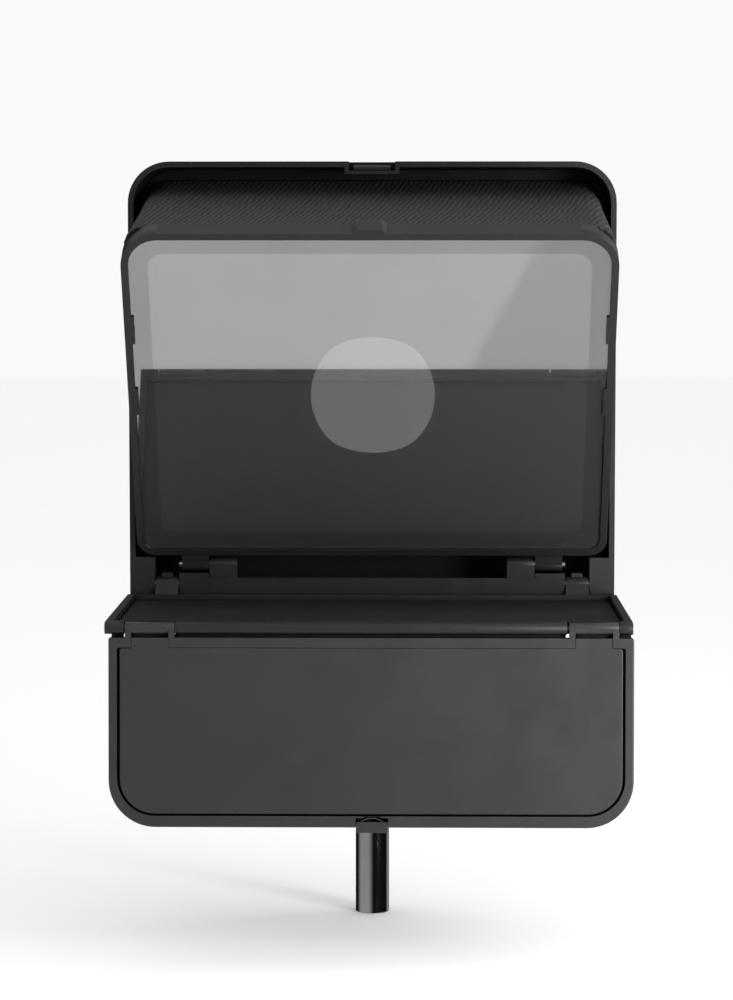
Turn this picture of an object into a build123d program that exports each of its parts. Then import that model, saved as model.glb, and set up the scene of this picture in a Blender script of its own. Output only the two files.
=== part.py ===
"""A folding phone teleprompter: housing, fabric hood, beam splitter, phone tray, front panel and stand rod.

X runs left to right, Y from the reader towards the camera, Z up. Millimetres.
The origin is the mouth of the stand thread, at the lower end of the rod and on the rod's axis.
"""

from build123d import *
from math import cos, radians, sin
import os

os.makedirs("parts", exist_ok=True)

# ---------------------------------------------------------------- driving dimensions
RIM_Z = 144.0            # height of the tray's rim plane above the origin
HINGE_Y = -15.0          # tray hinge axis, measured from the rod's axis
HINGE_Z = RIM_Z + 4.0    # tray hinge axis

HOUSING_HALF = 105.8
HOUSING_TOP = RIM_Z + 188.0
HOUSING_BOTTOM = RIM_Z - 11.0
HOUSING_FRONT = HINGE_Y - 3.2
HOUSING_DEPTH = 36.0
WALL = 2.4
TOP_RADIUS = 18.0
BOTTOM_RADIUS = 8.0

GLASS_ANGLE = 60.5       # the beam splitter's slope from horizontal
FRAME_HALF = 102.1
FRAME_LENGTH = 159.8
FRAME_DEPTH = 8.5
FRAME_WALL = 3.0
FRAME_CORNER = 15.5
FRAME_FOOT_CORNER = 8.0
GLASS_INSET = 1.0        # the glass lies this far behind the frame's front face
GLASS_THICKNESS = 2.0
FLANGE_WIDTH = 8.0

TRAY_HALF = 106.6
TRAY_THICKNESS = 5.0
TRAY_RIM = 3.0
FRONT_AXIS_Y = HINGE_Y - 104.25
FRONT_AXIS_Z = RIM_Z - TRAY_THICKNESS / 2
FRONT_BARREL = TRAY_THICKNESS / 2

PANEL_TILT = 3.0         # the hanging panel's foot stands towards the reader
PANEL_SHIFT = 1.0        # the front hinge and panel sit this far right of centre
PANEL_HALF = 106.0
PANEL_TOP = -3.8         # distances along the panel, from the front hinge axis
PANEL_FOOT = -80.5
PANEL_CORNER = 19.0
PANEL_HALF_THICKNESS = 2.5

PORT_Z = RIM_Z + 85.5
PORT_RADIUS = 27.7
ROD_RADIUS = 7.45
QUARTER_INCH_THREAD = 6.35 / 2

CAVITY_HALF = HOUSING_HALF - WALL
CAVITY_TOP = HOUSING_TOP - WALL
CAVITY_BOTTOM = HOUSING_BOTTOM + WALL
HOUSING_BACK = HOUSING_FRONT + HOUSING_DEPTH
CAVITY_BACK = HOUSING_BACK - WALL

# ---------------------------------------------------------------- planes
SLOPE_Y = -cos(radians(GLASS_ANGLE))
SLOPE_Z = sin(radians(GLASS_ANGLE))
FRAME_FOOT_Y = HINGE_Y - 4.8
FRAME_FOOT_Z = RIM_Z + 17.1
# On the glass plane: local x is X, local y runs up the slope, local z faces the reader.
glass_plane = Plane(origin=(0, FRAME_FOOT_Y, FRAME_FOOT_Z), x_dir=(1, 0, 0), z_dir=(0, -SLOPE_Z, SLOPE_Y))
GLASS_PIVOT_Y = HINGE_Y + 0.5
GLASS_PIVOT_Z = RIM_Z + 12.7

TILT_Y = sin(radians(PANEL_TILT))
TILT_Z = cos(radians(PANEL_TILT))
# On the panel plane: local y runs up the panel to the front hinge axis, local z faces the reader.
panel_plane = Plane(
    origin=(PANEL_SHIFT, FRONT_AXIS_Y, FRONT_AXIS_Z), x_dir=(1, 0, 0), z_dir=(0, -TILT_Z, TILT_Y)
)


def facing(y):
    """The upright plane at a given Y, facing the reader: local x is X and local y is Z."""
    return Plane.XZ.offset(-y)


def across(x):
    """The upright plane at a given X: local x is Y and local y is Z."""
    return Plane.YZ.offset(x)


def on_slope(up, out):
    """Y and Z of a point on the glass plane, so far up the slope and so far out towards the reader."""
    return (FRAME_FOOT_Y + SLOPE_Y * up - SLOPE_Z * out, FRAME_FOOT_Z + SLOPE_Z * up + SLOPE_Y * out)


def slab(plane, half, low, high, low_radius, high_radius, depth, mode=Mode.ADD):
    """A rounded rectangle on the plane, made solid backwards by depth."""
    with BuildSketch(plane) as outline:
        with Locations((0, (low + high) / 2)):
            Rectangle(2 * half, high - low)
        if low_radius:
            fillet(outline.vertices().group_by(Axis.Y)[0], low_radius)
        if high_radius:
            fillet(outline.vertices().group_by(Axis.Y)[-1], high_radius)
    extrude(outline.sketch, amount=-depth, mode=mode)


def block(x_range, y_range, z_range, mode=Mode.ADD):
    """A box between two corners."""
    centre = [(low + high) / 2 for low, high in (x_range, y_range, z_range)]
    size = [abs(high - low) for low, high in (x_range, y_range, z_range)]
    with Locations(tuple(centre)):
        Box(*size, mode=mode)


def shaft(y, z, radius, x_from, x_to, mode=Mode.ADD):
    """A cylinder along X."""
    with BuildSketch(across(x_from)) as section:
        with Locations((y, z)):
            Circle(radius)
    extrude(section.sketch, amount=x_to - x_from, mode=mode)


def finish(builder, name):
    """Label a finished sub-part and write its STEP file."""
    builder.part.label = name
    export_step(builder.part, f"parts/{name}.step")


def sides(low, high):
    """The same stretch of X on the right and on the left."""
    return [(low, high), (-high, -low)]


# ---------------------------------------------------------------- shared places
SILL_TOP = RIM_Z + 7.0
BLOCK_TOP = RIM_Z + 16.0
GLASS_BOSS = (59.0, 71.0)        # housing bosses that hold the glass frame's hinge pins
GLASS_LUG = (71.3, 83.0)         # lugs on the glass frame
SILL_BLOCK = (71.3, 84.2)        # inner bearing of the tray's hinge pins
TRAY_KNUCKLE = (84.6, 94.6)
CORNER_BLOCK = (95.0, CAVITY_HALF)
GLASS_PIN = 1.75
GLASS_BARREL = 3.3
TRAY_PIN = 1.5
TRAY_BARREL = 3.5
PANEL_PIN = 1.0
RUNNING = 0.05                   # radial clearance of a pin that turns

RECESS_HALF = 10.0
RECESS_FLOOR = HOUSING_TOP - 4.0
RECESS_BACK = HOUSING_FRONT + 11.2

SCREW_PLACES = [(x, z) for x in (-92.0, 92.0) for z in (RIM_Z + 6.0, RIM_Z + 92.0, RIM_Z + 174.0)]
SCREW_RADIUS = 1.25
MASK_THICKNESS = 1.6
MASK_FRONT = CAVITY_BACK - MASK_THICKNESS

INSERT_RADIUS = 6.0
INSERT_LENGTH = 10.0

# ================================================================ lens housing
with BuildPart() as rear_housing:
    slab(facing(HOUSING_FRONT), HOUSING_HALF, HOUSING_BOTTOM, HOUSING_TOP, BOTTOM_RADIUS, TOP_RADIUS,
         HOUSING_DEPTH)
    fillet(rear_housing.faces().sort_by(Axis.Y)[-1].edges(), 3.5)
    # hollow behind the sill, then the mouth above it
    slab(facing(HOUSING_FRONT + WALL), CAVITY_HALF, CAVITY_BOTTOM, CAVITY_TOP,
         BOTTOM_RADIUS - WALL, TOP_RADIUS - WALL, HOUSING_DEPTH - 2 * WALL, mode=Mode.SUBTRACT)
    slab(facing(HOUSING_FRONT), CAVITY_HALF, SILL_TOP, CAVITY_TOP, 0, TOP_RADIUS - WALL, WALL,
         mode=Mode.SUBTRACT)
    # corner blocks, sill blocks and glass hinge bosses, mirrored
    for low, high in sides(*TRAY_KNUCKLE):
        clearance = ((low - 0.4, high + 0.4), (HOUSING_FRONT, HINGE_Y + 4.5), (CAVITY_BOTTOM, SILL_TOP))
        block(*clearance, mode=Mode.SUBTRACT)
    for x_range in sides(*CORNER_BLOCK):
        block(x_range, (HOUSING_FRONT, HINGE_Y + 6.0), (CAVITY_BOTTOM, BLOCK_TOP))
    for x_range in sides(*SILL_BLOCK):
        block(x_range, (HOUSING_FRONT, HINGE_Y + 4.0), (CAVITY_BOTTOM, GLASS_PIVOT_Z - GLASS_BARREL - 0.3))
    for low, high in sides(*GLASS_BOSS):
        shaft(GLASS_PIVOT_Y, GLASS_PIVOT_Z, GLASS_BARREL, low, high)
        block((low, high), (GLASS_PIVOT_Y - GLASS_BARREL, GLASS_PIVOT_Y + GLASS_BARREL),
              (CAVITY_BOTTOM, GLASS_PIVOT_Z))
    for side in (1, -1):
        shaft(GLASS_PIVOT_Y, GLASS_PIVOT_Z, GLASS_PIN + RUNNING, side * 60.0, side * GLASS_BOSS[1],
              Mode.SUBTRACT)
        shaft(HINGE_Y, HINGE_Z, TRAY_PIN, side * 78.0, side * 103.0, Mode.SUBTRACT)
    # the notch in the top rim that takes the panel's latch
    block((-RECESS_HALF - 1.8, RECESS_HALF + 1.8), (HOUSING_FRONT, RECESS_BACK + 1.8),
          (RECESS_FLOOR - 1.5, CAVITY_TOP + 0.5))
    block((-RECESS_HALF, RECESS_HALF), (HOUSING_FRONT, RECESS_BACK), (RECESS_FLOOR, HOUSING_TOP),
          Mode.SUBTRACT)
    # lens opening, screw holes, and the boss for the stand thread
    with BuildSketch(facing(HOUSING_BACK)) as lens_opening:
        with Locations((0, PORT_Z)):
            Circle(31.0)
    extrude(amount=WALL, mode=Mode.SUBTRACT)
    with BuildSketch(facing(HOUSING_BACK)) as screw_holes:
        with Locations(*SCREW_PLACES):
            Circle(SCREW_RADIUS)
    extrude(amount=WALL, mode=Mode.SUBTRACT)
    with BuildSketch(Plane.XY.offset(HOUSING_BOTTOM)) as thread_boss:
        Circle(INSERT_RADIUS + 3.0)
    extrude(amount=INSERT_LENGTH + 2.0)
    with BuildSketch(Plane.XY.offset(HOUSING_BOTTOM)) as thread_pocket:
        Circle(INSERT_RADIUS)
    extrude(amount=INSERT_LENGTH, mode=Mode.SUBTRACT)
finish(rear_housing, "rear_housing")

with BuildPart() as mask_plate:
    slab(facing(MASK_FRONT), CAVITY_HALF - 0.4, RIM_Z + 1.0, CAVITY_TOP - 0.4, 3.0, TOP_RADIUS - WALL - 0.4,
         MASK_THICKNESS)
    # the port is a circle, flattened above and below by wider arcs
    with BuildSketch(facing(MASK_FRONT)) as port:
        with Locations((0, PORT_Z)):
            Circle(PORT_RADIUS)
        for shift in (-11.65, 11.65):
            with Locations((0, PORT_Z + shift)):
                Circle(37.5, mode=Mode.INTERSECT)
    extrude(amount=-MASK_THICKNESS, mode=Mode.SUBTRACT)
    with BuildSketch(facing(MASK_FRONT)) as mask_screw_holes:
        with Locations(*SCREW_PLACES):
            Circle(SCREW_RADIUS)
    extrude(amount=-MASK_THICKNESS, mode=Mode.SUBTRACT)
finish(mask_plate, "mask_plate")

with BuildPart() as lens_ring:
    with BuildSketch(facing(CAVITY_BACK)) as spigot:
        with Locations((0, PORT_Z)):
            Circle(30.8)
    extrude(amount=-WALL)
    with BuildSketch(facing(HOUSING_BACK)) as flange:
        with Locations((0, PORT_Z)):
            Circle(38.0)
    extrude(amount=-3.6)
    fillet(lens_ring.faces().sort_by(Axis.Y)[-1].edges(), 1.0)
    with BuildSketch(facing(CAVITY_BACK)) as lens_bore:
        with Locations((0, PORT_Z)):
            Circle(28.5)
    extrude(amount=-WALL - 3.6, mode=Mode.SUBTRACT)
finish(lens_ring, "lens_ring")

with BuildPart() as back_screws:
    for x, z in SCREW_PLACES:
        with BuildSketch(facing(MASK_FRONT)) as shank:
            with Locations((x, z)):
                Circle(SCREW_RADIUS)
        extrude(amount=-WALL - MASK_THICKNESS)
        with BuildSketch(facing(HOUSING_BACK)) as head:
            with Locations((x, z)):
                Circle(2.6)
        extrude(amount=-1.4)
        with BuildSketch(facing(HOUSING_BACK + 1.4)) as drive:
            with Locations((x, z)):
                Rectangle(3.2, 0.8)
                Rectangle(0.8, 3.2)
        extrude(amount=0.8, mode=Mode.SUBTRACT)
finish(back_screws, "back_screws")

CATCH_HALF = 8.2
CATCH_FRONT = HOUSING_FRONT + 2.4
with BuildPart() as latch_catch:
    with BuildSketch(across(-CATCH_HALF)) as catch_profile:
        with BuildLine():
            Polyline(
                (CATCH_FRONT, RECESS_FLOOR),
                (CATCH_FRONT, RECESS_FLOOR + 1.6),
                (CATCH_FRONT + 1.4, RECESS_FLOOR + 2.6),
                (RECESS_BACK, RECESS_FLOOR + 2.6),
                (RECESS_BACK, RECESS_FLOOR),
                close=True,
            )
        make_face()
    extrude(amount=2 * CATCH_HALF)
finish(latch_catch, "latch_catch")

# ================================================================ fabric hood and its clamp
HOOD_HALF = 99.1
HOOD_CORNER = 8.0
HOOD_CLOTH = 0.8
HOOD_BACK = MASK_FRONT
HOOD_BACK_TOP = RIM_Z + 180.0


def hood_wedge(half, drop, reach, corner, mode=Mode.ADD):
    """The hood's side outline, drop below the cloth's upper face and reach past its open edges."""
    front_top = on_slope(157.0 - drop, -FRAME_DEPTH + reach)
    front_foot = on_slope(12.0 - reach, -FRAME_DEPTH + reach)
    with BuildSketch(across(-half)) as side:
        with BuildLine():
            Polyline(
                front_top,
                (HOOD_BACK + reach, HOOD_BACK_TOP - drop),
                (HOOD_BACK + reach, RIM_Z + 24.0 - reach),
                front_foot,
                close=True,
            )
        make_face()
    wedge = extrude(side.sketch, amount=2 * half, mode=Mode.PRIVATE)
    slope_edges = wedge.faces().sort_by(Axis.Z)[-1].edges().filter_by(Axis.X, reverse=True)
    add(wedge.fillet(corner, slope_edges), mode=mode)


with BuildPart() as hood_fabric:
    hood_wedge(HOOD_HALF, 0.0, 0.0, HOOD_CORNER)
    hood_wedge(HOOD_HALF - HOOD_CLOTH, HOOD_CLOTH, 4.0, HOOD_CORNER - HOOD_CLOTH, mode=Mode.SUBTRACT)
finish(hood_fabric, "hood_fabric")

CLAMP_HALF = HOOD_HALF - HOOD_CLOTH - 0.4
CLAMP_TOP = HOOD_BACK_TOP - HOOD_CLOTH - 1.6
CLAMP_FOOT = RIM_Z + 26.0
CLAMP_BAR = 2.0
CLAMP_DEPTH = 3.0
CLAMP_CORNER = HOOD_CORNER + 1.0
with BuildPart() as hood_clamp:
    clamp_plane = facing(MASK_FRONT - CLAMP_DEPTH)
    slab(clamp_plane, CLAMP_HALF, CLAMP_FOOT, CLAMP_TOP, 0, CLAMP_CORNER, CLAMP_DEPTH)
    slab(clamp_plane, CLAMP_HALF - CLAMP_BAR, CLAMP_FOOT, CLAMP_TOP - CLAMP_BAR, 0, CLAMP_CORNER - CLAMP_BAR,
         CLAMP_DEPTH, mode=Mode.SUBTRACT)
finish(hood_clamp, "hood_clamp")

# ================================================================ stand thread and rod
ROD_COLLAR_LOW = HOUSING_BOTTOM - 6.0
WASHER_LOW = HOUSING_BOTTOM - 1.5
STUD_LOW = ROD_COLLAR_LOW - 4.0
SOCKET_RADIUS = 5.0
SOCKET_LENGTH = 12.0
THREAD_DEPTH = 10.0


def turned(z_from, z_to, outer, inner=0.0):
    """A round bar or tube about the rod's axis."""
    with BuildSketch(Plane.XY.offset(z_from)) as section:
        Circle(outer)
        if inner:
            Circle(inner, mode=Mode.SUBTRACT)
    extrude(section.sketch, amount=z_to - z_from)


with BuildPart() as thread_insert:
    turned(HOUSING_BOTTOM, HOUSING_BOTTOM + INSERT_LENGTH, INSERT_RADIUS, QUARTER_INCH_THREAD)
finish(thread_insert, "thread_insert")

with BuildPart() as rod_washer:
    turned(WASHER_LOW, HOUSING_BOTTOM, 10.0, QUARTER_INCH_THREAD)
finish(rod_washer, "rod_washer")

with BuildPart() as support_rod:
    turned(0, SOCKET_LENGTH, ROD_RADIUS, SOCKET_RADIUS)
    turned(SOCKET_LENGTH, STUD_LOW, ROD_RADIUS)
    turned(STUD_LOW, ROD_COLLAR_LOW, ROD_RADIUS, QUARTER_INCH_THREAD)
    turned(ROD_COLLAR_LOW, WASHER_LOW, 10.0, QUARTER_INCH_THREAD)
    collar_rim = support_rod.edges().filter_by(GeomType.CIRCLE).group_by(Axis.Z)[-1].sort_by(Edge.radius)[-1:]
    chamfer(collar_rim, 0.6)
    # finger grooves round the collar
    with BuildSketch(Plane.XY.offset(ROD_COLLAR_LOW)) as collar_grooves:
        with PolarLocations(10.2, 24):
            Circle(0.6)
    extrude(amount=WASHER_LOW - ROD_COLLAR_LOW, mode=Mode.SUBTRACT)
finish(support_rod, "support_rod")

with BuildPart() as rod_stud:
    turned(STUD_LOW, HOUSING_BOTTOM + INSERT_LENGTH - 1.0, QUARTER_INCH_THREAD)
    chamfer(rod_stud.faces().sort_by(Axis.Z)[-1].edges(), 0.6)
finish(rod_stud, "rod_stud")

with BuildPart() as rod_socket:
    turned(0, THREAD_DEPTH, SOCKET_RADIUS, QUARTER_INCH_THREAD)
    turned(THREAD_DEPTH, SOCKET_LENGTH, SOCKET_RADIUS)
finish(rod_socket, "rod_socket")

# ================================================================ beam splitter and its frame
INNER_HALF = FRAME_HALF - FRAME_WALL
INNER_LOW = FRAME_WALL
INNER_HIGH = FRAME_LENGTH - FRAME_WALL
INNER_CORNER = FRAME_CORNER - FRAME_WALL
INNER_FOOT_CORNER = FRAME_FOOT_CORNER - FRAME_WALL
CLIP_PLACES = (79.0, 114.0)      # up the slope
CLIP_LENGTH = 13.0
CLIP_REACH = 1.2

with BuildPart() as glass_frame:
    slab(glass_plane, FRAME_HALF, 0, FRAME_LENGTH, FRAME_FOOT_CORNER, FRAME_CORNER, FRAME_DEPTH)
    # finger tab on the top rail
    with BuildSketch(glass_plane) as finger_tab:
        with BuildLine():
            Polyline(
                (-7.2, FRAME_LENGTH - 1.0),
                (-7.2, FRAME_LENGTH),
                (-5.2, FRAME_LENGTH + 2.0),
                (5.2, FRAME_LENGTH + 2.0),
                (7.2, FRAME_LENGTH),
                (7.2, FRAME_LENGTH - 1.0),
                close=True,
            )
        make_face()
        fillet(finger_tab.vertices().group_by(Axis.Y)[-1], 1.2)
    extrude(amount=-FRAME_DEPTH)
    # hinge lugs below the bottom rail
    for low, high in sides(*GLASS_LUG):
        shaft(GLASS_PIVOT_Y, GLASS_PIVOT_Z, GLASS_BARREL, low, high)
        with BuildSketch(across(low)) as web:
            with BuildLine():
                Polyline(
                    (GLASS_PIVOT_Y - GLASS_BARREL, GLASS_PIVOT_Z),
                    on_slope(0.5, -1.0),
                    on_slope(0.5, -FRAME_DEPTH + 1.0),
                    (GLASS_PIVOT_Y + GLASS_BARREL, GLASS_PIVOT_Z),
                    close=True,
                )
            make_face()
        extrude(amount=high - low)
    slab(glass_plane, INNER_HALF, INNER_LOW, INNER_HIGH, INNER_FOOT_CORNER, INNER_CORNER, FRAME_DEPTH,
         mode=Mode.SUBTRACT)
    for side in (1, -1):
        shaft(GLASS_PIVOT_Y, GLASS_PIVOT_Z, GLASS_PIN, side * GLASS_LUG[0], side * GLASS_LUG[1],
              Mode.SUBTRACT)
finish(glass_frame, "glass_frame")

FLANGE_FRONT = GLASS_INSET + GLASS_THICKNESS
FLANGE_THICKNESS = 2.0
with BuildPart() as glass_flange:
    flange_plane = glass_plane.offset(-FLANGE_FRONT)
    slab(flange_plane, INNER_HALF, INNER_LOW, INNER_HIGH, INNER_FOOT_CORNER, INNER_CORNER, FLANGE_THICKNESS)
    slab(flange_plane, INNER_HALF - FLANGE_WIDTH, INNER_LOW + FLANGE_WIDTH, INNER_HIGH - FLANGE_WIDTH,
         4.0, 7.0, FLANGE_THICKNESS, mode=Mode.SUBTRACT)
finish(glass_flange, "glass_flange")

with BuildPart() as beam_splitter:
    slab(glass_plane.offset(-GLASS_INSET), INNER_HALF - 0.1, INNER_LOW + 0.1, INNER_HIGH - 0.1,
         INNER_FOOT_CORNER - 0.1, INNER_CORNER - 0.1, GLASS_THICKNESS)
finish(beam_splitter, "beam_splitter")

with BuildPart() as glass_clips:
    for side in (1, -1):
        for up in CLIP_PLACES:
            with BuildSketch(glass_plane) as clip:
                with Locations((side * (INNER_HALF - CLIP_REACH / 2), up)):
                    Rectangle(CLIP_REACH, CLIP_LENGTH)
            extrude(amount=-GLASS_INSET)
finish(glass_clips, "glass_clips")

with BuildPart() as glass_hinge_pins:
    for side in (1, -1):
        shaft(GLASS_PIVOT_Y, GLASS_PIVOT_Z, GLASS_PIN, side * 60.3, side * (GLASS_LUG[1] + 1.4))
finish(glass_hinge_pins, "glass_hinge_pins")

# ================================================================ phone tray
TRAY_REAR = HINGE_Y - 4.5
TRAY_FRONT = FRONT_AXIS_Y + FRONT_BARREL + 0.3
TRAY_BOTTOM = RIM_Z - TRAY_THICKNESS
PAD_TOP = RIM_Z - 2.5
PAD_THICKNESS = 1.0
FLOOR_TOP = PAD_TOP - PAD_THICKNESS
BAR = (PANEL_SHIFT - 79.0, PANEL_SHIFT + 79.0)
LEFT_KNUCKLE = (PANEL_SHIFT - 99.3, PANEL_SHIFT - 79.3)
RIGHT_KNUCKLE = (PANEL_SHIFT + 79.9, PANEL_SHIFT + 99.9)
TRAY_ENDS = [(-TRAY_HALF, LEFT_KNUCKLE[0] - 0.5), (RIGHT_KNUCKLE[1] + 0.4, TRAY_HALF)]
TRAY_BARS = [BAR] + TRAY_ENDS

with BuildPart() as phone_tray:
    block((-TRAY_HALF, TRAY_HALF), (TRAY_FRONT, TRAY_REAR), (TRAY_BOTTOM, RIM_Z))
    fillet(phone_tray.edges().filter_by(Axis.Z).group_by(Axis.Y)[-1], 2.0)
    block((-TRAY_HALF + TRAY_RIM, TRAY_HALF - TRAY_RIM), (TRAY_FRONT + 1.2, TRAY_REAR - 2.5),
          (FLOOR_TOP, RIM_Z), Mode.SUBTRACT)
    # the groove round the underside, which is the lower front face of the folded case
    with BuildSketch(Plane.XY.offset(TRAY_BOTTOM)) as groove:
        with Locations((0, (TRAY_FRONT + TRAY_REAR) / 2)):
            Rectangle(2 * TRAY_HALF - 7.0, TRAY_REAR - TRAY_FRONT - 7.0)
            Rectangle(2 * TRAY_HALF - 9.0, TRAY_REAR - TRAY_FRONT - 9.0, mode=Mode.SUBTRACT)
    extrude(amount=0.5, mode=Mode.SUBTRACT)
    # hinge bars along the front edge
    for low, high in TRAY_BARS:
        shaft(FRONT_AXIS_Y, FRONT_AXIS_Z, FRONT_BARREL, low, high)
        block((low, high), (FRONT_AXIS_Y, TRAY_FRONT), (TRAY_BOTTOM, RIM_Z))
    for low, high in (LEFT_KNUCKLE, RIGHT_KNUCKLE):
        shaft(FRONT_AXIS_Y, FRONT_AXIS_Z, PANEL_PIN, low - 5.0, high + 5.0, Mode.SUBTRACT)
    # knuckles of the rear hinge, each on an arm with a small stop on top
    for low, high in sides(*TRAY_KNUCKLE):
        shaft(HINGE_Y, HINGE_Z, TRAY_BARREL, low, high)
        with BuildSketch(across(low)) as arm:
            with BuildLine():
                Polyline(
                    (HINGE_Y - TRAY_BARREL, HINGE_Z + 0.5),
                    (TRAY_REAR - 1.5, RIM_Z),
                    (TRAY_REAR - 1.5, TRAY_BOTTOM),
                    (TRAY_REAR + 0.5, TRAY_BOTTOM),
                    (HINGE_Y, HINGE_Z - TRAY_BARREL),
                    (HINGE_Y, HINGE_Z + 0.5),
                    close=True,
                )
            make_face()
        extrude(amount=high - low)
        middle = (low + high) / 2
        block((middle - 2.4, middle + 2.4), (HINGE_Y - 1.2, HINGE_Y + 1.2), (HINGE_Z + 3.0, HINGE_Z + 5.0))
    for side in (1, -1):
        shaft(HINGE_Y, HINGE_Z, TRAY_PIN + RUNNING, side * TRAY_KNUCKLE[0], side * TRAY_KNUCKLE[1],
              Mode.SUBTRACT)
finish(phone_tray, "phone_tray")

with BuildPart() as tray_pad:
    with BuildSketch(Plane.XY.offset(FLOOR_TOP)) as pad_outline:
        with Locations((0, (TRAY_FRONT + 1.2 + TRAY_REAR - 2.5) / 2)):
            RectangleRounded(2 * (TRAY_HALF - TRAY_RIM) - 1.0, TRAY_REAR - TRAY_FRONT - 4.7, 3.0)
    extrude(amount=PAD_THICKNESS)
finish(tray_pad, "tray_pad")

with BuildPart() as tray_hinge_pins:
    for side in (1, -1):
        shaft(HINGE_Y, HINGE_Z, TRAY_PIN, side * 78.0, side * 103.0)
finish(tray_hinge_pins, "tray_hinge_pins")

# ================================================================ front panel
PLATE_HALF = PANEL_HALF - 3.4
PLATE_TOP = PANEL_TOP - 4.0
PLATE_FOOT = PANEL_FOOT + 4.6
PLATE_CORNER = PANEL_CORNER - 3.8
SKIN_FRONT = -1.0
RIM_FRONT = PANEL_HALF_THICKNESS
STRIP_STEP = 0.3
ARM_WIDTH = 2.4
LIP_TOP = -2.6
LIP_SPANS = [
    (1.0 - PANEL_HALF, LEFT_KNUCKLE[0] - PANEL_SHIFT - 0.8),
    (LEFT_KNUCKLE[0] - PANEL_SHIFT + 0.4, BAR[1] - PANEL_SHIFT - 0.4),
    (RIGHT_KNUCKLE[0] - PANEL_SHIFT + 0.4, PANEL_HALF - 1.0),
]
EAR_POCKETS = [
    (low - PANEL_SHIFT + ARM_WIDTH, high - PANEL_SHIFT - ARM_WIDTH)
    for low, high in (LEFT_KNUCKLE, RIGHT_KNUCKLE)
]
LATCH_X = 0.4
LATCH_HALF = 6.4
SLOT_TOP = PANEL_FOOT + 4.5
LATCH_TOP = PANEL_FOOT + 2.2
LATCH_FOOT = PANEL_FOOT - 2.1
EAR_HALF = 8.0
SLOT_BACK = -1.9         # a thin wall is left behind the latch
LATCH_BACK = SLOT_BACK + 0.2


def panel_block(x_range, up_range, out_range, mode=Mode.ADD):
    """A box on the panel plane: across, up the panel, and out towards the reader."""
    with BuildSketch(panel_plane.offset(out_range[1])) as face:
        with Locations(((x_range[0] + x_range[1]) / 2, (up_range[0] + up_range[1]) / 2)):
            Rectangle(abs(x_range[1] - x_range[0]), abs(up_range[1] - up_range[0]))
    extrude(face.sketch, amount=out_range[0] - out_range[1], mode=mode)


with BuildPart() as panel_frame:
    slab(panel_plane.offset(RIM_FRONT), PANEL_HALF, PANEL_FOOT, PANEL_TOP, PANEL_CORNER, 1.0,
         2 * PANEL_HALF_THICKNESS)
    fillet(panel_frame.faces().sort_by(Axis.Y)[0].outer_wire().edges(), 0.6)
    # the recess for the cover plate, a shallow one behind, and the step in the top strip
    slab(panel_plane.offset(RIM_FRONT), PLATE_HALF, PLATE_FOOT, PLATE_TOP, PLATE_CORNER, 1.0,
         RIM_FRONT - SKIN_FRONT, mode=Mode.SUBTRACT)
    slab(panel_plane.offset(-PANEL_HALF_THICKNESS + 0.6), PLATE_HALF, PLATE_FOOT, PLATE_TOP, PLATE_CORNER,
         1.0, 0.6, mode=Mode.SUBTRACT)
    panel_block((LEFT_KNUCKLE[0] - PANEL_SHIFT + ARM_WIDTH, RIGHT_KNUCKLE[1] - PANEL_SHIFT - ARM_WIDTH),
                (PLATE_TOP, PANEL_TOP), (RIM_FRONT - STRIP_STEP, RIM_FRONT), Mode.SUBTRACT)
    # a thin lip along the top, behind the hinge bar
    for x_range in LIP_SPANS:
        panel_block(x_range, (PANEL_TOP - 0.5, LIP_TOP), (-PANEL_HALF_THICKNESS, SKIN_FRONT))
    # pockets for the cover plate's ears
    for x_range in EAR_POCKETS:
        panel_block(x_range, (PLATE_TOP - 0.5, PANEL_TOP), (SKIN_FRONT, RIM_FRONT), Mode.SUBTRACT)
    # hinge barrels, each joined to the panel by an arm at either end
    for low, high in (LEFT_KNUCKLE, RIGHT_KNUCKLE):
        shaft(FRONT_AXIS_Y, FRONT_AXIS_Z, FRONT_BARREL, low, high)
        for start in (low - PANEL_SHIFT, high - PANEL_SHIFT - ARM_WIDTH):
            panel_block((start, start + ARM_WIDTH), (PANEL_TOP - 0.5, 0), (-0.5, RIM_FRONT))
        shaft(FRONT_AXIS_Y, FRONT_AXIS_Z, PANEL_PIN + RUNNING, low, high, Mode.SUBTRACT)
    # the slot for the latch, with an arched head and grooves for the latch's ears
    panel_block((LATCH_X - LATCH_HALF - 0.2, LATCH_X + LATCH_HALF + 0.2), (PANEL_FOOT - 1.0, SLOT_TOP - 0.6),
                (SLOT_BACK, RIM_FRONT), Mode.SUBTRACT)
    panel_block((LATCH_X - 3.4, LATCH_X + 3.4), (SLOT_TOP - 1.0, SLOT_TOP), (SLOT_BACK, RIM_FRONT),
                Mode.SUBTRACT)
    panel_block((LATCH_X - EAR_HALF - 0.3, LATCH_X + EAR_HALF + 0.3), (LATCH_TOP - 1.8, SLOT_TOP - 0.2),
                (-1.5, 0.1), Mode.SUBTRACT)
finish(panel_frame, "panel_frame")

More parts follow.
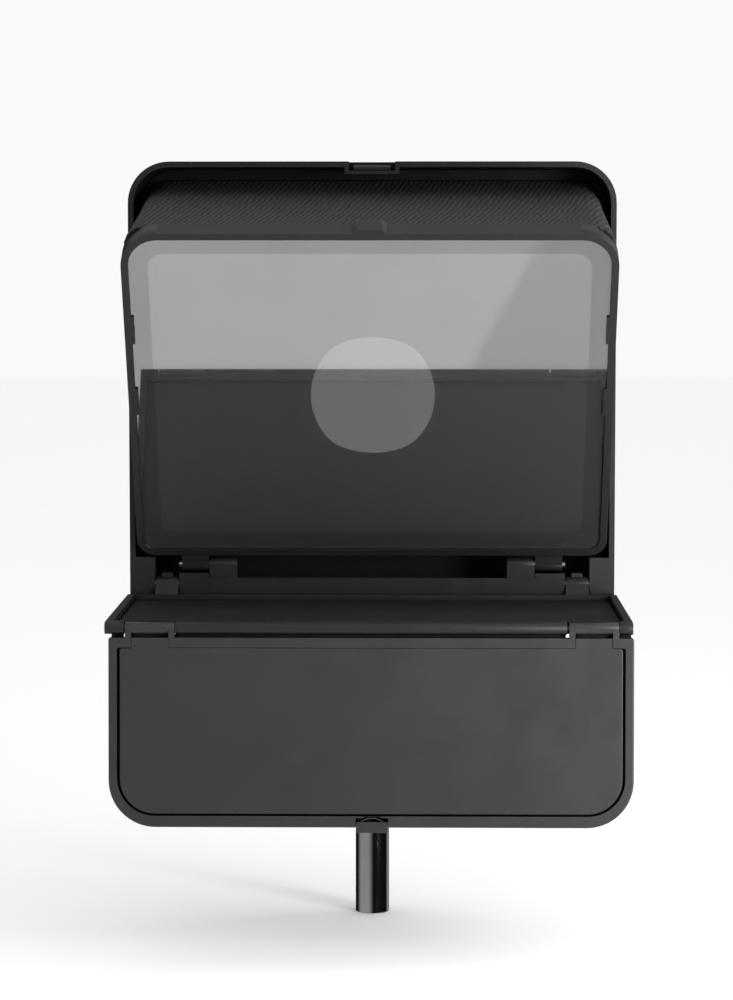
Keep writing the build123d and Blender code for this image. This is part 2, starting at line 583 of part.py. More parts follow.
with BuildPart() as panel_plate:
    slab(panel_plane.offset(RIM_FRONT - STRIP_STEP), PLATE_HALF - 1.1, PLATE_FOOT + 0.8, PLATE_TOP - 0.2,
         PLATE_CORNER - 1.0, 1.0, RIM_FRONT - STRIP_STEP - SKIN_FRONT)
    for low, high in EAR_POCKETS:
        panel_block((low + 0.2, high - 0.2), (PLATE_TOP - 1.0, PANEL_TOP - 0.1),
                    (SKIN_FRONT, RIM_FRONT - STRIP_STEP))
    fillet(panel_plate.faces().sort_by(Axis.Y)[0].outer_wire().edges(), 0.4)
    slab(panel_plane.offset(RIM_FRONT - STRIP_STEP - 1.6), PLATE_HALF - 4.0, PLATE_FOOT + 4.0,
         PLATE_TOP - 3.0, PLATE_CORNER - 3.0, 1.0, RIM_FRONT - STRIP_STEP - 1.6 - SKIN_FRONT,
         mode=Mode.SUBTRACT)
finish(panel_plate, "panel_plate")

with BuildPart() as panel_hinge_pins:
    for low, high in (LEFT_KNUCKLE, RIGHT_KNUCKLE):
        shaft(FRONT_AXIS_Y, FRONT_AXIS_Z, PANEL_PIN, low - 5.0, high + 5.0)
finish(panel_hinge_pins, "panel_hinge_pins")

with BuildPart() as panel_latch:
    panel_block((LATCH_X - LATCH_HALF, LATCH_X + LATCH_HALF), (LATCH_FOOT, LATCH_TOP),
                (LATCH_BACK, RIM_FRONT))
    foot_edges = panel_latch.edges().filter_by(GeomType.LINE).group_by(Axis.Z)[0]
    fillet(foot_edges, 1.2)
    panel_block((LATCH_X - EAR_HALF, LATCH_X + EAR_HALF), (LATCH_TOP - 1.5, LATCH_TOP - 0.1), (-1.3, -0.1))
finish(panel_latch, "panel_latch")

with BuildPart() as latch_spring:
    with BuildSketch(panel_plane.offset(0.8)) as bow:
        with BuildLine():
            RadiusArc((LATCH_X - 4.6, LATCH_TOP), (LATCH_X + 4.6, LATCH_TOP), 7.2)
            Line((LATCH_X + 4.6, LATCH_TOP), (LATCH_X + 4.1, LATCH_TOP))
            RadiusArc((LATCH_X + 4.1, LATCH_TOP), (LATCH_X - 4.1, LATCH_TOP), -6.9)
            Line((LATCH_X - 4.1, LATCH_TOP), (LATCH_X - 4.6, LATCH_TOP))
        make_face()
    extrude(amount=-1.6)
finish(latch_spring, "latch_spring")
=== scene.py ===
"""The looks of the folding phone teleprompter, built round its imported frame. Metres, Z up."""

import math

import bmesh
import bpy
from mathutils import Matrix, Vector, noise


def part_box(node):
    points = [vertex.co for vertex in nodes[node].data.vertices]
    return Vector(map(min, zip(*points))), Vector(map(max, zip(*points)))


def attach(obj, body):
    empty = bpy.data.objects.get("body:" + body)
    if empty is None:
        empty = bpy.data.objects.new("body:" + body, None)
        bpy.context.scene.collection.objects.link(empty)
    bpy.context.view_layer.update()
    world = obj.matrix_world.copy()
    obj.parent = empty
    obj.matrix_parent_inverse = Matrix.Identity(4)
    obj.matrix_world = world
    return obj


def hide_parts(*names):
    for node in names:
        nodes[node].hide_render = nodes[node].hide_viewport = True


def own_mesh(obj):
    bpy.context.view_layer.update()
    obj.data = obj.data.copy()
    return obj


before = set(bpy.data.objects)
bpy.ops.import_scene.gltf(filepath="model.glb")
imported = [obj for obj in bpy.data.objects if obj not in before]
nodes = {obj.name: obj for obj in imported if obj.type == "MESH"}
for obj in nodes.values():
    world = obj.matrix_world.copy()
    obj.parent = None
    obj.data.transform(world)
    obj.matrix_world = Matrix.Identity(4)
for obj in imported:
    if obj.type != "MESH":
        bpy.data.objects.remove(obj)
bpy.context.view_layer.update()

MM = 0.001

# the glass plane: its slope from horizontal, and the foot of its frame
ANGLE = math.radians(60.5)
SLOPE_Y, SLOPE_Z = -math.cos(ANGLE), math.sin(ANGLE)
FOOT_Y, FOOT_Z = -19.8 * MM, 161.1 * MM


# ---------------------------------------------------------------- material graphs
class Nodes:
    """A node tree, with short calls for making its nodes."""

    def __init__(self, tree):
        self.tree = tree

    def node(self, kind, inputs=None, **settings):
        """A new node: inputs are numbers, colours or other nodes' outputs."""
        made = self.tree.nodes.new(kind)
        for key, value in settings.items():
            setattr(made, key, value)
        for key, value in (inputs or {}).items():
            if isinstance(value, bpy.types.NodeSocket):
                self.tree.links.new(value, made.inputs[key])
            else:
                made.inputs[key].default_value = value
        return made

    def span(self, value, low, high, to_low=0.0, to_high=1.0):
        """value stretched from low..high to another range, and held to it."""
        made = self.node("ShaderNodeMapRange", {
            "Value": value, "From Min": low, "From Max": high, "To Min": to_low, "To Max": to_high})
        return made.outputs[0]

    def maths(self, operation, a, b=0.0, c=None):
        """One step of arithmetic on numbers or outputs."""
        inputs = {0: a, 1: b}
        if c is not None:
            inputs[2] = c
        return self.node("ShaderNodeMath", inputs, operation=operation).outputs[0]

    def mix(self, share, a, b):
        """A colour from a to b."""
        made = self.node("ShaderNodeMix", data_type="RGBA")
        for socket, value in ((0, share), (6, a), (7, b)):
            if isinstance(value, bpy.types.NodeSocket):
                self.tree.links.new(value, made.inputs[socket])
            else:
                made.inputs[socket].default_value = value
        return made.outputs[2]


# plain words for the shader's sockets
SOCKETS = {
    "alpha": "Alpha",
    "ior": "IOR",
    "metallic": "Metallic",
    "sheen": "Sheen Weight",
    "sheen_rough": "Sheen Roughness",
    "specular": "Specular IOR Level",
}


class Graph(Nodes):
    """A material with one Principled shader, fed by nodes laid out in the object's own coordinates."""

    def __init__(self, name, **settings):
        self.material = bpy.data.materials.new(name)
        self.material.use_nodes = True
        super().__init__(self.material.node_tree)
        self.shader = self.tree.nodes["Principled BSDF"]
        for word, value in settings.items():
            self.shader.inputs[SOCKETS[word]].default_value = value
        self.place = self.node("ShaderNodeTexCoord").outputs["Object"]

    def stretched(self, x, y, z):
        """The object's own coordinates, scaled differently along each axis."""
        return self.node("ShaderNodeMapping", {"Vector": self.place, "Scale": (x, y, z)}).outputs[0]

    def noise(self, size, detail=3.0, rough=0.55, place=None):
        """Noise from 0 to 1, with features about that size."""
        made = self.node("ShaderNodeTexNoise", {
            "Vector": place or self.place, "Scale": 1.0 / size, "Detail": detail, "Roughness": rough})
        return made.outputs["Fac"]

    def to(self, socket, value):
        """Feeds an output to one of the shader's sockets."""
        self.tree.links.new(value, self.shader.inputs[socket])

    def bump(self, *layers):
        """Bumps laid over each other: pairs of a height and how tall it is, in metres."""
        normal = None
        for height, tall in layers:
            inputs = {"Height": height, "Distance": tall, "Strength": 1.0}
            if normal is not None:
                inputs["Normal"] = normal
            normal = self.node("ShaderNodeBump", inputs).outputs[0]
        self.to("Normal", normal)


def grey(value, warm=0.0):
    """A grey, turned towards red by warm, or towards blue where warm is negative."""
    return (value * (1 + warm), value, value * (1 - warm), 1.0)


SHADE_REACH = 2.5 * MM             # how near another face has to be for the plastic to take painted shade


def moulded(name, tone, gloss, specular=0.5, grain=0.55, grain_height=0.012, worn=0.35):
    """Moulded plastic: eroded grain, a drift of tone, handled patches, scuffs, worn edges, painted shade
    near other faces.
    """
    g = Graph(name, specular=specular, ior=1.46)
    drift = g.noise(38 * MM, 3.0)
    handled = g.noise(17 * MM, 4.0, 0.6)
    fine = g.noise(grain * MM, 2.0, 0.5)
    streaks = g.noise(1.1 * MM, 3.0, 0.7, g.stretched(1.0, 0.16, 0.2))
    scuff = g.span(streaks, 0.66, 0.74)
    colour = g.mix(g.span(drift, 0.3, 0.7), grey(tone * 0.93, -0.012), grey(tone * 1.07, -0.018))
    colour = g.mix(g.span(fine, 0.3, 0.75, 0.0, 0.35), colour, grey(tone * 1.5, -0.015))
    colour = g.mix(g.maths("MULTIPLY", scuff, 0.06), colour, grey(tone * 3.2))
    rounded = g.node("ShaderNodeBevel", {"Radius": 0.45 * MM}, samples=4).outputs[0]
    flat = g.node("ShaderNodeNewGeometry").outputs["Normal"]
    turned = g.node("ShaderNodeVectorMath", {0: rounded, 1: flat}, operation="DOT_PRODUCT").outputs["Value"]
    edge = g.maths("MULTIPLY", g.span(turned, 0.995, 0.86), g.span(handled, 0.32, 0.6))
    colour = g.mix(g.maths("MULTIPLY", edge, worn), colour, grey(tone * 2.6))
    # painted shade: where other faces are near, in crevices and between parts, the base colour darkens and
    # the specular dims
    open_share = g.node("ShaderNodeAmbientOcclusion", {"Distance": SHADE_REACH}, samples=4).outputs["AO"]
    clear = g.span(open_share, 0.25, 0.8)
    g.to("Base Color", g.mix(clear, grey(tone * 0.15), colour))
    g.to("Specular IOR Level", g.maths("MULTIPLY", clear, specular))
    rough = g.span(handled, 0.3, 0.7, gloss - 0.05, gloss + 0.06)
    rough = g.maths("SUBTRACT", rough, g.maths("MULTIPLY", edge, 0.1))
    g.to("Roughness", g.maths("ADD", rough, g.maths("MULTIPLY", scuff, 0.05)))
    g.bump((fine, grain_height * MM), (g.noise(1.7 * MM, 2.0), grain_height * 0.8 * MM),
           (streaks, 0.0015 * MM))
    return g.material


def matt_black(name, tone, gloss, grain):
    """Matt inner plastic or rubber: a coarser grain with dust caught in it."""
    g = Graph(name, specular=0.16)
    dust = g.span(g.noise(2.4 * MM, 5.0, 0.7), 0.56, 0.8)
    fine = g.noise(grain * MM, 3.0, 0.6)
    colour = g.mix(g.span(g.noise(24 * MM), 0.3, 0.7), grey(tone * 0.85), grey(tone * 1.15))
    g.to("Base Color", g.mix(g.maths("MULTIPLY", dust, 0.16), colour, grey(tone * 4.0, 0.02)))
    g.to("Roughness", g.span(fine, 0.3, 0.7, gloss - 0.06, gloss + 0.06))
    g.bump((fine, 0.03 * MM), (g.noise(grain * 3.2 * MM), 0.02 * MM))
    return g.material


def drawn_metal(name, tone, gloss, brushed, warm=0.0):
    """Bare metal, with the fine lines of turning or drawing along X and some tarnish."""
    g = Graph(name, metallic=1.0)
    lines = g.noise(brushed * MM, 3.0, 0.6, g.stretched(0.05, 1.0, 1.0))
    tarnish = g.span(g.noise(1.4 * MM, 4.0), 0.42, 0.75)
    bright = (tone, tone * (1 - 0.5 * warm), tone * (1 - 1.3 * warm), 1.0)
    dull = tuple(0.62 * channel for channel in bright[:3]) + (1.0,)
    g.to("Base Color", g.mix(g.maths("MULTIPLY", tarnish, 0.6), bright, dull))
    g.to("Roughness", g.maths("ADD", g.span(lines, 0.3, 0.7, gloss - 0.05, gloss + 0.05),
                              g.maths("MULTIPLY", tarnish, 0.12)))
    g.bump((lines, 0.004 * MM))
    return g.material


def black_chrome():
    """The rod's polished dark plating, with faint handling marks and wipe lines."""
    g = Graph("rod_black_chrome", metallic=1.0)
    wipe = g.noise(0.9 * MM, 4.0, 0.65, g.stretched(1.0, 1.0, 0.06))
    marks = g.span(g.noise(9 * MM, 5.0, 0.65), 0.5, 0.78)
    g.to("Base Color", g.mix(g.span(g.noise(22 * MM), 0.3, 0.7), grey(0.26, -0.015), grey(0.31, -0.02)))
    g.to("Roughness", g.maths("ADD", g.span(wipe, 0.3, 0.7, 0.07, 0.11), g.maths("MULTIPLY", marks, 0.06)))
    g.bump((wipe, 0.0015 * MM))
    return g.material


GLASS_CORNER = 14.5 * MM
BOND_FROM, BOND_TO = 7.5 * MM, 8.1 * MM     # in from the glass's edge, where its bonded border ends


def mirror_glass():
    """The beam splitter's part-silvered face, darker at its bonded border, with dust and wipe marks."""
    g = Graph("beam_splitter_glass", metallic=0.94, alpha=0.68)
    low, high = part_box("beam_splitter")
    axes = g.node("ShaderNodeSeparateXYZ", {0: g.place})
    # how far inside a rounded rectangle each point is
    beyond = []
    for axis, scale in ((0, 1.0), (2, 1 / SLOPE_Z)):
        middle, half = (high[axis] + low[axis]) / 2, (high[axis] - low[axis]) / 2 * scale
        offset = g.maths("MULTIPLY", g.maths("SUBTRACT", axes.outputs[axis], middle), scale)
        over = g.maths("SUBTRACT", g.maths("ABSOLUTE", offset), half - GLASS_CORNER)
        over = g.maths("MAXIMUM", over, 0.0)
        beyond.append(g.maths("MULTIPLY", over, over))
    inner = g.maths("SUBTRACT", GLASS_CORNER, g.maths("SQRT", g.maths("ADD", *beyond)))
    free = g.span(inner, BOND_FROM, BOND_TO)
    film = g.span(g.noise(55 * MM, 2.0), 0.3, 0.7, 0.96, 1.04)
    wipes = g.noise(14 * MM, 5.0, 0.62, g.stretched(1.0, 0.5, 0.35))
    dust = g.span(g.noise(0.8 * MM, 2.0), 0.74, 0.79)
    silver = g.mix(free, grey(0.50, -0.012), grey(0.585, -0.014))
    silver = g.mix(g.maths("MULTIPLY", dust, 0.18), silver, grey(0.7))
    scaled = g.node("ShaderNodeVectorMath", {0: silver, "Scale": film}, operation="SCALE").outputs[0]
    g.to("Base Color", scaled)
    g.to("Roughness", g.maths("ADD", g.span(wipes, 0.45, 0.75, 0.015, 0.06), g.maths("MULTIPLY", dust, 0.3)))
    return g.material


def twill(name, tone, pitch, rib_height, lean):
    """Twill cloth, laid out by the sheet's flat coordinates; lean is a rib's step across per step along."""
    g = Graph(name, specular=0.1, sheen=0.04, sheen_rough=0.5)
    flat = g.node("ShaderNodeUVMap", uv_map="flat").outputs[0]
    sway = g.noise(9 * MM, 3.0, 0.6, flat)
    axes = g.node("ShaderNodeSeparateXYZ", {0: flat})
    across, along = axes.outputs[0], axes.outputs[1]
    diagonal = g.maths("SUBTRACT", across, g.maths("MULTIPLY", along, lean))
    diagonal = g.maths("MULTIPLY_ADD", sway, 1.1 * pitch * MM, diagonal)
    turn = 2 * math.pi / (pitch * MM)
    rib = g.maths("SINE", g.maths("MULTIPLY", diagonal, turn))
    yarn = g.maths("SINE", g.maths("MULTIPLY", g.maths("ADD", across, along), turn * 1.7))
    rib = g.span(rib, -1.0, 1.0)
    height = g.maths("MULTIPLY_ADD", g.span(yarn, -1.0, 1.0), 0.5, rib)
    drawn_out = g.node("ShaderNodeMapping", {"Vector": flat, "Scale": (1.0, 0.22, 1.0)}).outputs[0]
    slub = g.noise(3.2 * MM, 3.0, 0.6, drawn_out)
    fuzz = g.noise(0.35 * MM, 2.0, 0.5, flat)
    colour = g.mix(g.span(height, 0.1, 1.1), grey(tone * 0.35), grey(tone * 1.9, -0.01))
    colour = g.mix(g.span(slub, 0.45, 0.75, 0.0, 0.35), colour, grey(tone * 1.9, -0.012))
    colour = g.mix(g.span(fuzz, 0.5, 0.75, 0.0, 0.5), colour, grey(tone * 2.6))
    g.to("Base Color", colour)
    g.to("Roughness", g.span(height, 0.0, 1.2, 0.92, 0.74))
    g.bump((height, rib_height * MM), (slub, 0.05 * MM), (fuzz, 0.02 * MM))
    return g.material


housing_plastic = moulded("housing_satin_plastic", 0.012, 0.40, specular=0.4, worn=0.5)
panel_plastic = moulded("panel_satin_plastic", 0.023, 0.40, grain=0.7, grain_height=0.014)
frame_plastic = moulded("frame_satin_plastic", 0.013, 0.36, specular=0.35, grain=0.5, worn=0.5)
inner_plastic = matt_black("inner_matt_plastic", 0.008, 0.62, 0.8)
rubber = matt_black("tray_rubber", 0.012, 0.72, 1.3)
washer_rubber = matt_black("washer_rubber", 0.018, 0.8, 0.9)
pin_steel = drawn_metal("pin_bright_steel", 0.62, 0.24, 0.25)
black_steel = drawn_metal("screw_blackened_steel", 0.09, 0.4, 0.4)
brass = drawn_metal("thread_brass", 0.72, 0.28, 0.3, warm=0.45)
rod_chrome = black_chrome()
glass = mirror_glass()
cloth = twill("hood_twill", 0.022, 2.4, 0.3, -0.185)
hem_cloth = twill("hood_hem_twill", 0.02, 1.6, 0.12, -0.185)

FINISHES = {
    housing_plastic: ("rear_housing", "latch_catch", "phone_tray"),
    panel_plastic: ("panel_frame", "panel_plate", "panel_latch"),
    frame_plastic: ("glass_frame", "glass_clips"),
    inner_plastic: ("mask_plate", "lens_ring", "hood_clamp", "glass_flange"),
    rubber: ("tray_pad",),
    washer_rubber: ("rod_washer",),
    pin_steel: ("glass_hinge_pins", "tray_hinge_pins", "rod_stud"),
    black_steel: ("back_screws", "panel_hinge_pins"),
    brass: ("thread_insert", "rod_socket"),
    rod_chrome: ("support_rod",),
    glass: ("beam_splitter",),
}
for material, names in FINISHES.items():
    for name in names:
        slots = nodes[name].data.materials
        slots.clear()
        slots.append(material)


# ---------------------------------------------------------------- softened edges on the moulded pieces
SOFT_EDGE = 0.4 * MM
WELD_REACH = 0.002 * MM
SHARP_ANGLE = math.radians(40)


def soften(name, width):
    """Rounds the sharp edges of a CAD node by modifiers, so that they catch the light."""
    node = nodes[name]
    weld = node.modifiers.new("weld", "WELD")
    weld.merge_threshold = WELD_REACH
    bevel = node.modifiers.new("edges", "BEVEL")
    bevel.width = width
    bevel.segments = 2
    bevel.limit_method = "ANGLE"
    bevel.angle_limit = SHARP_ANGLE


for name in ("rear_housing", "phone_tray", "panel_frame", "panel_plate", "glass_frame", "panel_latch",
             "latch_catch"):
    soften(name, SOFT_EDGE)


# ---------------------------------------------------------------- new objects
def placed(name, data):
    """A new object in the scene, with that mesh, lamp or camera."""
    made = bpy.data.objects.new(name, data)
    bpy.context.scene.collection.objects.link(made)
    return made


def built(name, bm):
    """A new object with the mesh made in bm."""
    mesh = bpy.data.meshes.new(name)
    bm.to_mesh(mesh)
    bm.free()
    return placed(name, mesh)


# ---------------------------------------------------------------- fabric hood
def slope_point(up, out):
    """Y and Z on the glass plane, so far up the slope and out towards the reader, from the frame's foot."""
    return Vector((FOOT_Y + SLOPE_Y * up - SLOPE_Z * out, FOOT_Z + SLOPE_Z * up + SLOPE_Y * out))


CLOTH = 0.8 * MM
_, hood_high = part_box("hood_fabric")
HOOD_HALF = hood_high.x
BACK_Y = hood_high.y
BACK_FOOT, BACK_HEAD = 168.0 * MM, hood_high.z
FRONT_FOOT, FRONT_HEAD = 12.0 * MM, 157.0 * MM
FRONT_OUT = -8.5 * MM
FRONT_WIDER, FRONT_HIGHER = 1.2 * MM, 0.8 * MM   # the front edge's reach past the CAD solid's
CORNER = 8.0 * MM
TIGHT_CORNER = 40.0 * MM       # down a side from the top, where its bow inwards is full
ALONG_U = 0.5                  # metres of cloth along the U
SAG = 0.017                    # of the cloth's length from back to front
SIDE_BOW = 0.3                 # of the top's sag
RIPPLES, RIPPLE_DEPTH = 34.0, 0.9 * MM       # slow folds, per metre along the U
PUCKERS, PUCKER_DEPTH = 150.0, 0.34 * MM     # small folds, per metre along the U
PUCKER_REACH = 0.16            # of the hood's depth, in from each held edge
ROUND, DEEP = 150, 44          # quads along the U and from back to front


def u_outline(half, foot, head, corner, share):
    """A point of an upside-down U, share of the way along it from its left foot to its right foot."""
    side = head - corner - foot
    arc = math.pi / 2 * corner
    top = 2 * (half - corner)
    at = share * (2 * side + 2 * arc + top)
    mirrored = at > side + arc + top / 2
    if mirrored:
        at = 2 * side + 2 * arc + top - at
    if at < side:
        x, h = -half, foot + at
    elif at < side + arc:
        turn = (at - side) / corner
        x, h = -half + corner * (1 - math.cos(turn)), head - corner * (1 - math.sin(turn))
    else:
        x, h = -half + corner + (at - side - arc), head
    return (-x if mirrored else x), h


def hood_point(share, deep):
    """A point of the cloth: deep is 0 at the housing's back plate and 1 at the glass frame."""
    xb, zb = u_outline(HOOD_HALF, BACK_FOOT, BACK_HEAD, CORNER, share)
    back = Vector((xb, BACK_Y, zb))
    front_half, front_head = HOOD_HALF + FRONT_WIDER, FRONT_HEAD + FRONT_HIGHER
    xf, up = u_outline(front_half, FRONT_FOOT, front_head, CORNER, share)
    fy, fz = slope_point(up, FRONT_OUT)
    front = Vector((xf, fy, fz))
    point = back.lerp(front, deep)
    length = (front - back).length
    # the cloth sags a little between its held edges, and puckers where it is gathered to them
    belly = math.sin(math.pi * deep)
    # the top sags down and the sides bow in a little, and the corners between them are pulled tight
    top = BACK_HEAD + deep * (slope_point(FRONT_HEAD, FRONT_OUT)[1] - BACK_HEAD)
    down = max(1.0 - (abs(point.x) / HOOD_HALF) ** 8, 0.0)
    beside = min(max((top - point.z) / TIGHT_CORNER, 0.0), 1.0)
    inward = Vector((-math.copysign(SIDE_BOW * beside, point.x), 0.0, -down))
    along = share * ALONG_U
    ripple = noise.noise(Vector((along * RIPPLES, deep * 1.3, 2.7)))
    pucker = noise.noise(Vector((along * PUCKERS, deep * 2.0, 8.1)))
    near_edge = math.exp(-deep / PUCKER_REACH) + math.exp(-(1 - deep) / PUCKER_REACH)
    depth = (belly * (SAG * length + RIPPLE_DEPTH * (ripple + 0.45))
             + PUCKER_DEPTH * pucker * near_edge * belly ** 0.4)
    return point + inward * max(depth, 0.0)


def sheet_mesh(name, point, across, along, thick):
    """A sheet of cloth: point(u, v) is its outer face, and the inner face lies thick below it."""
    outer = [[point(i / across, j / along) for j in range(along + 1)] for i in range(across + 1)]
    bm = bmesh.new()
    rows = []
    for i in range(across + 1):
        row = []
        for j in range(along + 1):
            a = outer[min(i + 1, across)][j] - outer[max(i - 1, 0)][j]
            b = outer[i][min(j + 1, along)] - outer[i][max(j - 1, 0)]
            inward = b.cross(a).normalized()
            row.append((bm.verts.new(outer[i][j]), bm.verts.new(outer[i][j] + inward * thick)))
        rows.append(row)
    flat = bm.loops.layers.uv.new("flat")
    # how far each point lies along the cloth, from the back and from one foot
    gone = [[0.0] * (along + 1) for _ in range(across + 1)]
    spread = [[0.0] * (along + 1) for _ in range(across + 1)]
    for i in range(across + 1):
        for j in range(along + 1):
            if i:
                spread[i][j] = spread[i - 1][j] + (outer[i][along // 2] - outer[i - 1][along // 2]).length
            if j:
                gone[i][j] = gone[i][j - 1] + (outer[i][j] - outer[i][j - 1]).length

    def quad(corners, layer):
        face = bm.faces.new([rows[i][j][k] for i, j, k in corners])
        face.smooth = True
        for loop, (i, j, _) in zip(face.loops, corners):
            loop[layer].uv = (spread[i][j], gone[i][j])

    for i in range(across):
        for j in range(along):
            quad([(i, j, 0), (i + 1, j, 0), (i + 1, j + 1, 0), (i, j + 1, 0)], flat)
            quad([(i, j, 1), (i, j + 1, 1), (i + 1, j + 1, 1), (i + 1, j, 1)], flat)
    for i in range(across):
        quad([(i, 0, 0), (i, 0, 1), (i + 1, 0, 1), (i + 1, 0, 0)], flat)
        quad([(i, along, 0), (i + 1, along, 0), (i + 1, along, 1), (i, along, 1)], flat)
    for j in range(along):
        quad([(0, j, 0), (0, j + 1, 0), (0, j + 1, 1), (0, j, 1)], flat)
        quad([(across, j, 0), (across, j, 1), (across, j + 1, 1), (across, j + 1, 0)], flat)
    bmesh.ops.recalc_face_normals(bm, faces=bm.faces)
    return built(name, bm)


hood = sheet_mesh("hood_cloth_sheet", hood_point, ROUND, DEEP, CLOTH)
hood.data.materials.append(cloth)


HEM_SHARE = 0.075              # of the hood's depth
HEM_LIFT = 0.45 * MM
HEM_CLOTH = 0.4 * MM
HEM_ROWS = 6
HEM_STEP = 0.004               # of the way along the U, to find which way the edge runs


def hem_point(share, deep):
    """The outer turn-over along the front edge."""
    start = 1.0 - HEM_SHARE
    point = hood_point(share, start + HEM_SHARE * deep)
    lift = HEM_LIFT * min(1.0, 3.0 * min(deep, 1 - deep) + 0.35)
    a = hood_point(min(share + HEM_STEP, 1.0), start) - hood_point(max(share - HEM_STEP, 0.0), start)
    b = hood_point(share, 1.0) - hood_point(share, start)
    return point + a.cross(b).normalized() * lift


hem = sheet_mesh("hood_front_hem", hem_point, ROUND, HEM_ROWS, HEM_CLOTH)
hem.data.materials.append(hem_cloth)

for piece in (hood, hem):
    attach(piece, "housing")
    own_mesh(piece)
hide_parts("hood_fabric")


# ---------------------------------------------------------------- the leaf spring behind the latch
TILT = math.radians(3.0)
UP_PANEL = Vector((0.0, math.sin(TILT), math.cos(TILT)))
OUT_PANEL = Vector((0.0, -math.cos(TILT), math.sin(TILT)))
spring_low, spring_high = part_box("latch_spring")
SPRING_FOOT = Vector(((spring_low.x + spring_high.x) / 2, (spring_low.y + spring_high.y) / 2, 0.0))
SPRING_HALF = (spring_high.x - spring_low.x) / 2
SPRING_RADIUS, SPRING_WIDTH, SPRING_THICK = 7.2 * MM, 1.6 * MM, 0.3 * MM
SPRING_EDGE = 0.1 * MM         # how far its outer long edges are eased
SPRING_STEPS = 24


def spring_mesh(steps):
    """A bowed strip with its outer long edges eased, its feet on the latch."""
    centre_drop = math.sqrt(SPRING_RADIUS ** 2 - SPRING_HALF ** 2)
    reach = math.asin(SPRING_HALF / SPRING_RADIUS)
    # the corners of the strip's cross-section: how far in from its outer face, and its share of the width
    section = ((SPRING_EDGE, -0.5), (0.0, -0.35), (0.0, 0.35), (SPRING_EDGE, 0.5),
               (SPRING_THICK, 0.5), (SPRING_THICK, -0.5))
    foot = SPRING_FOOT.copy()
    foot.z = spring_low.z + SPRING_WIDTH / 2 * math.sin(TILT)
    bm = bmesh.new()
    rings = []
    for step in range(steps + 1):
        turn = reach * (2 * step / steps - 1)
        ring = []
        for inset, out in section:
            away = SPRING_RADIUS - inset
            side = Vector((away * math.sin(turn), 0.0, 0.0))
            height = max(away * math.cos(turn) - centre_drop, 0.0)
            ring.append(bm.verts.new(foot + side + UP_PANEL * height + OUT_PANEL * out * SPRING_WIDTH))
        rings.append(ring)
    for one, two in zip(rings, rings[1:]):
        for k in range(len(one)):
            bm.faces.new((one[k], one[k - 1], two[k - 1], two[k]))
    bm.faces.new(rings[0])
    bm.faces.new(tuple(reversed(rings[-1])))
    bmesh.ops.recalc_face_normals(bm, faces=bm.faces)
    return built("latch_leaf_spring", bm)


spring = spring_mesh(SPRING_STEPS)
spring.data.materials.append(pin_steel)
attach(spring, "latch")
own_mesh(spring)
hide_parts("latch_spring")


# ---------------------------------------------------------------- floor, light and camera
FLOOR_RADIUS = 6.0
FLOOR_DROP = 0.2 * MM          # below the rod's end, so that the two faces don't meet


def floor_mesh():
    """A wide pale disc under the rod's end."""
    bm = bmesh.new()
    bmesh.ops.create_circle(bm, cap_ends=True, segments=96, radius=FLOOR_RADIUS)
    return built("floor", bm)


# brightness of the studio: the overhead scrim and the room as they light things, and the scrim, the paper in
# front and the dark flags as they are mirrored
SCRIM, FILL, SHEEN, PAPER, DIM = 1.25, 0.2, 0.66, 0.83, 0.014
BACKDROP = 0.95                # what the camera sees beyond the floor, as bright as the floor's far side
PAPER_EDGE = (0.88, 0.424, -0.214)   # square to the paper's one straight edge
PAPER_FAR = 0.78               # brightness of the paper beyond that edge, as a share of PAPER

floor = floor_mesh()
floor.location.z = -FLOOR_DROP
floor.visible_glossy = False
pale = Graph("floor_paper", specular=0.2)
pale.to("Base Color", pale.mix(pale.noise(0.5, 3.0), grey(0.95), grey(0.97)))
pale.to("Roughness", pale.span(pale.noise(0.02, 3.0), 0.3, 0.7, 0.72, 0.82))
floor.data.materials.append(pale.material)


def softbox(name, place, aim, width, height, watts):
    """A rectangular lamp that the camera doesn't see, pointed at aim."""
    lamp = bpy.data.lights.new(name, "AREA")
    lamp.shape = "RECTANGLE"
    lamp.size, lamp.size_y, lamp.energy = width, height, watts
    made = placed(name, lamp)
    made.visible_camera = False
    made.location = place
    made.rotation_mode = "QUATERNION"
    made.rotation_quaternion = (Vector(aim) - Vector(place)).to_track_quat("-Z", "Y")


softbox("key_right", (0.36, -0.42, 0.16), (0.08, -0.12, 0.1), 0.2, 0.4, 3.6)
softbox("rim_right", (0.75, 0.3, 0.45), (0.05, 0.0, 0.2), 0.2, 0.8, 0.6)

world = bpy.data.worlds.new("studio")
bpy.context.scene.world = world
world.use_nodes = True
studio = Nodes(world.node_tree)
dome = studio.tree.nodes["Background"]
direction = studio.node("ShaderNodeTexCoord").outputs["Generated"]
axes = studio.node("ShaderNodeSeparateXYZ", {0: direction})
east, north, high = axes.outputs
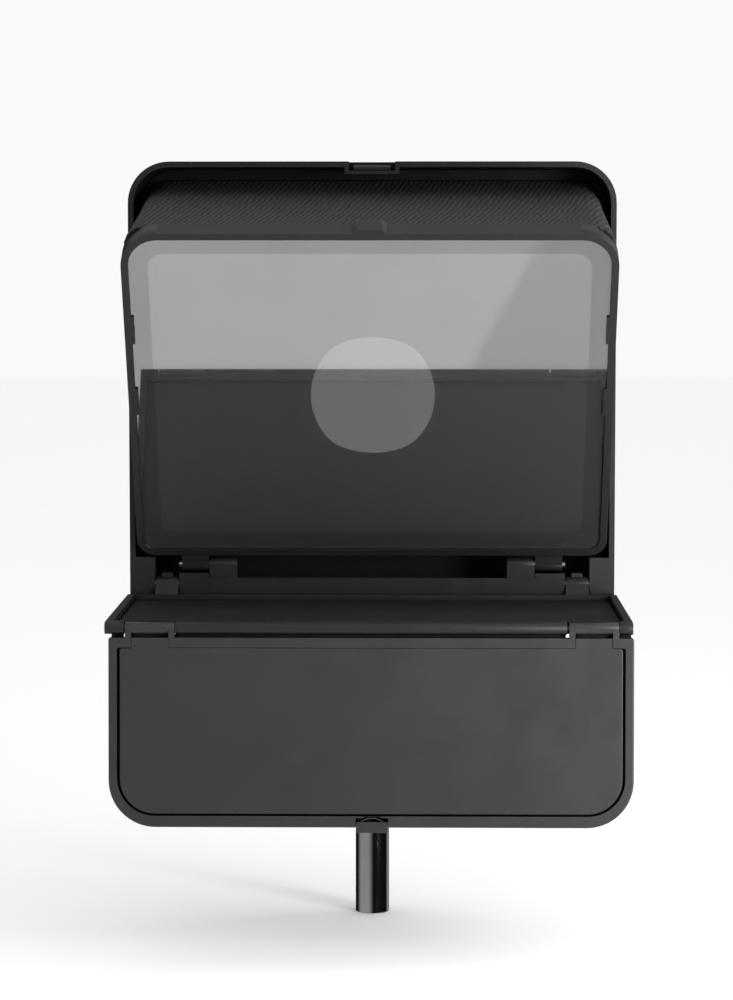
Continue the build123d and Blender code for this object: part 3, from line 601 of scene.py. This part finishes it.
# degrees round from the reader's side, to the right positive
bearing = studio.maths("MULTIPLY", studio.maths("ARCTAN2", east, studio.maths("MULTIPLY", north, -1.0)),
                       180 / math.pi)


def band(low, high, soft, strength):
    """A strip of the horizon from one bearing to another, with soft ends."""
    rise = studio.span(bearing, low - soft, low + soft)
    fall = studio.span(bearing, high - soft, high + soft, 1.0, 0.0)
    return studio.maths("MULTIPLY", studio.maths("MULTIPLY", rise, fall), strength)


horizon = studio.maths("ADD", band(-100, -10, 16, 0.75), band(118, 160, 5, 0.5))
horizon = studio.maths("ADD", horizon, DIM)
# an overhead scrim, and below it the paper in front of the object, which has one straight edge
edge = studio.node("ShaderNodeVectorMath", {0: direction, 1: PAPER_EDGE}, operation="DOT_PRODUCT")
paper = studio.span(edge.outputs["Value"], -0.0015, 0.0015, PAPER, PAPER * PAPER_FAR)
above = studio.span(high, 0.22, 0.62)
below = studio.span(high, -0.4, -0.6)


def towards(share, a, b):
    """A number from a to b."""
    return studio.maths("ADD", a, studio.maths("MULTIPLY", share, studio.maths("SUBTRACT", b, a)))


path = studio.node("ShaderNodeLightPath").outputs
mirrored = towards(below, towards(above, horizon, SHEEN), paper)
soft = towards(above, FILL, SCRIM)
light = towards(path["Is Diffuse Ray"], mirrored, soft)
studio.tree.links.new(towards(path["Is Camera Ray"], light, BACKDROP), dome.inputs["Strength"])
dome.inputs["Color"].default_value = (1.0, 1.0, 1.0, 1.0)

CAMERA_PLACE = (0.01741, -1.32069, 0.29116)
SENSOR, LENS = 36.0, 107.9     # millimetres
PITCH, YAW = math.radians(4.65), math.radians(0.87)
forward = Vector((-math.sin(YAW) * math.cos(PITCH), math.cos(YAW) * math.cos(PITCH), -math.sin(PITCH)))
right = Vector((math.cos(YAW), math.sin(YAW), 0.0))
up = right.cross(forward)
camera_data = bpy.data.cameras.new("camera")
camera_data.sensor_width = SENSOR
camera_data.lens = LENS
camera = placed("camera", camera_data)
turned = Matrix((right, up, -forward)).transposed().to_4x4()
camera.matrix_world = Matrix.Translation(CAMERA_PLACE) @ turned
bpy.context.scene.camera = camera
bpy.context.scene.view_settings.view_transform = "Standard"
